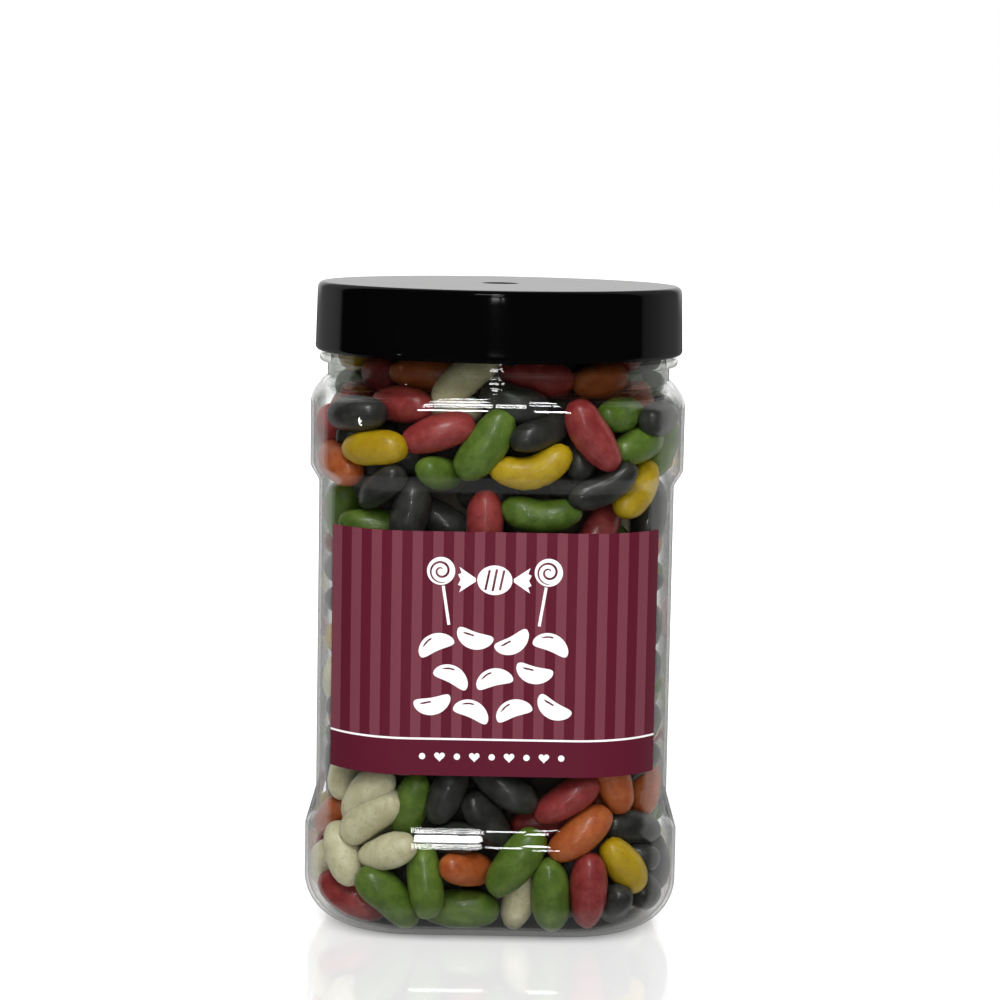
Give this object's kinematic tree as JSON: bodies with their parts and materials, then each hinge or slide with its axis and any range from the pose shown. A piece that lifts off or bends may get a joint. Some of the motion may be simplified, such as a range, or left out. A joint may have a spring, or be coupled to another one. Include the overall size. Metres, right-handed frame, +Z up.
{
  "type": "jar of jelly beans",
  "caption": "Clear rounded-square plastic sweet jar filled with mixed jelly beans, with a sunken panel, a striped wrap label on its front and a black screw lid.",
  "frame": {"origin": "centre of the base, on the surface that the jar stands on", "axes": "+Z up along the jar, -Y out of the front with the label, +X to the right seen from the front"},
  "size_m": [0.091, 0.091, 0.1552],
  "materials": {
    "jar": "clear glossy polyester, blow moulded",
    "lid": "black, glossy skirt, satin top",
    "label": "printed, satin",
    "jelly_beans": "sugar shell, satin, in six colours"
  },
  "bodies": {
    "root": {"jar": "jar", "lid": "lid", "label": "label", "jelly_beans": "jelly_beans"}
  },
  "joints": []
}
